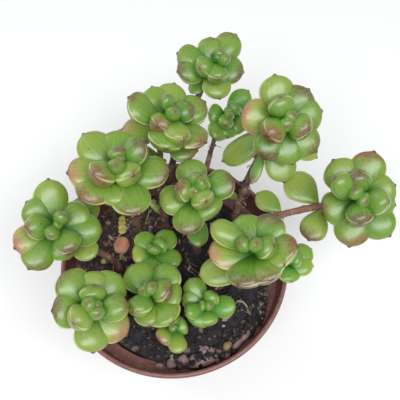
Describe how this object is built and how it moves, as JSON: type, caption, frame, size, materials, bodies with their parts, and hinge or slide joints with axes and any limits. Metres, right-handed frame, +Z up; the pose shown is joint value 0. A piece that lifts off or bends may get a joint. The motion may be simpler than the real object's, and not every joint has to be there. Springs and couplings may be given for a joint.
{
  "type": "potted sedum",
  "caption": "Succulent sedum with many rosettes of thick spoon-shaped green leaves on bare woody stems, planted in dark soil in a round collared nursery pot.",
  "frame": {"origin": "centre of the pot's foot, on the surface it stands on", "axes": "+Z up along the pot's axis, -Y towards the front, the side that the picture was taken from"},
  "size_m": [0.1677, 0.1544, 0.1346],
  "materials": {
    "pot": "moulded terracotta-coloured plastic, slightly glossy, with a paler rim lip",
    "soil": "dark, coarse, crumbly potting mix with bark and pinkish stone chips",
    "stem": "woody brown stem with leaf scars",
    "leaf": "waxy, fleshy leaf, fresh green with a reddish-brown tip and a pale thin margin",
    "young_leaf": "waxy, fleshy young leaf, brighter green with a pale margin",
    "old_leaf": "waxy, yellowing older leaf on a bare stem",
    "dry_leaf": "shrivelled, pinkish-orange to yellow dropped leaf"
  },
  "bodies": {
    "root": {"fallen_bud": "dry_leaf", "fallen_leaf_pink": "dry_leaf", "fallen_leaf_yellow": "dry_leaf", "pot": "pot", "shoot_01_head": "leaf", "shoot_01_leaf": "old_leaf", "shoot_01_stem": "stem", "shoot_02_head": "leaf", "shoot_02_leaf_a": "old_leaf", "shoot_02_leaf_b": "old_leaf", "shoot_02_leaf_c": "old_leaf", "shoot_02_leaf_d": "old_leaf", "shoot_02_stem": "stem", "shoot_03_head": "leaf", "shoot_03_leaf_a": "old_leaf", "shoot_03_leaf_b": "old_leaf", "shoot_03_leaf_c": "old_leaf", "shoot_03_leaf_d": "old_leaf", "shoot_03_leaf_e": "old_leaf", "shoot_03_stem": "stem", "shoot_04_head": "leaf", "shoot_04_leaf_c": "old_leaf", "shoot_04_leaf_d": "old_leaf", "shoot_04_leaf_e": "old_leaf", "shoot_04_stem": "stem", "shoot_05_head": "leaf", "shoot_05_stem": "stem", "shoot_06_head": "leaf", "shoot_06_leaf": "old_leaf", "shoot_06_stem": "stem", "shoot_07_head": "leaf", "shoot_07_leaf_a": "old_leaf", "shoot_07_leaf_b": "old_leaf", "shoot_07_stem": "stem", "shoot_08_head": "leaf", "shoot_08_stem": "stem", "shoot_09_head": "leaf", "shoot_09_stem": "stem", "shoot_10_head": "leaf", "shoot_10_leaf": "old_leaf", "shoot_10_stem": "stem", "shoot_11_head": "young_leaf", "shoot_11_stem": "stem", "shoot_12_head": "young_leaf", "shoot_12_stem": "stem", "shoot_13_head": "young_leaf", "shoot_13_stem": "stem", "shoot_14_head": "young_leaf", "shoot_14_stem": "stem", "shoot_15_head": "young_leaf", "shoot_15_stem": "stem", "soil": "soil"}
  },
  "joints": []
}
